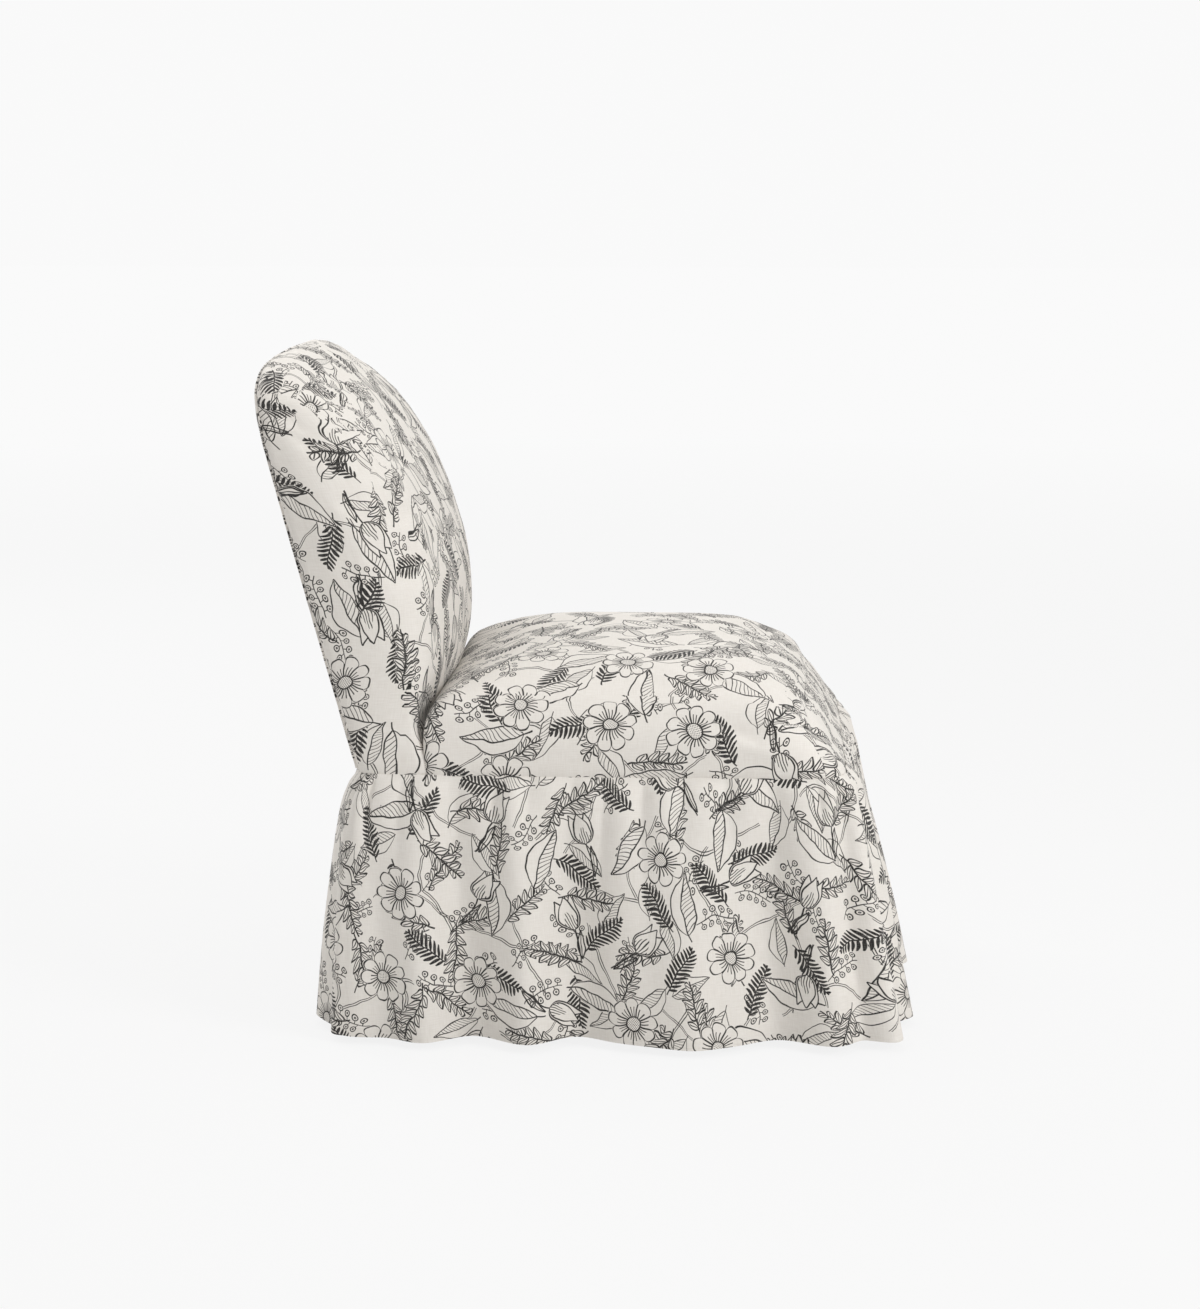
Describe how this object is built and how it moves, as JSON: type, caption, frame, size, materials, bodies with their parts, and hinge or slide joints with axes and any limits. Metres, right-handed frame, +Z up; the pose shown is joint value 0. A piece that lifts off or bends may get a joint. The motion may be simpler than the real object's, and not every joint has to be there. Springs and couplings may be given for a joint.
{
  "type": "slipper chair",
  "caption": "Armless upholstered chair with a domed raked back, a deep tight seat and a gathered skirt to the floor.",
  "frame": {"origin": "on the floor under the middle of the chair's outline", "axes": "+Z up, the front faces -Y, the sitter's left is +X"},
  "size_m": [0.6798, 0.8239, 0.86],
  "materials": {
    "beech": "satin",
    "board": "matte",
    "deck_cloth": "matte",
    "dowel_wood": "matte",
    "dust_cloth": "matte",
    "foam": "matte",
    "jute": "matte",
    "linen": "matte",
    "nylon": "matte",
    "steel": "satin",
    "wadding": "matte"
  },
  "bodies": {
    "root": {"back_cross_straps": "jute", "back_dowels": "dowel_wood", "back_foam": "foam", "back_lumbar_rail": "beech", "back_stiffener_board": "board", "back_top_rail": "beech", "back_upright_straps": "jute", "back_wadding": "wadding", "block_screws": "steel", "corner_block_front_left": "beech", "corner_block_front_right": "beech", "corner_block_rear_left": "beech", "corner_block_rear_right": "beech", "dust_cover": "dust_cloth", "dust_cover_staples": "steel", "front_leg_left": "beech", "front_leg_right": "beech", "glide_front_left": "nylon", "glide_front_right": "nylon", "glide_rear_left": "nylon", "glide_rear_right": "nylon", "inside_back_cover": "linen", "outside_back_panel": "linen", "rail_dowels": "dowel_wood", "rear_post_left": "beech", "rear_post_right": "beech", "seat_cover": "linen", "seat_foam": "foam", "seat_rail_front": "beech", "seat_rail_left": "beech", "seat_rail_rear": "beech", "seat_rail_right": "beech", "seat_spring_1": "steel", "seat_spring_2": "steel", "seat_spring_3": "steel", "seat_spring_4": "steel", "seat_spring_5": "steel", "seat_wadding": "wadding", "skirt_front": "linen", "skirt_left": "linen", "skirt_rear": "linen", "skirt_right": "linen", "skirt_tack_strip": "board", "spring_clips_front": "steel", "spring_clips_rear": "steel", "spring_deck": "deck_cloth", "stay_wires": "steel"}
  },
  "joints": []
}
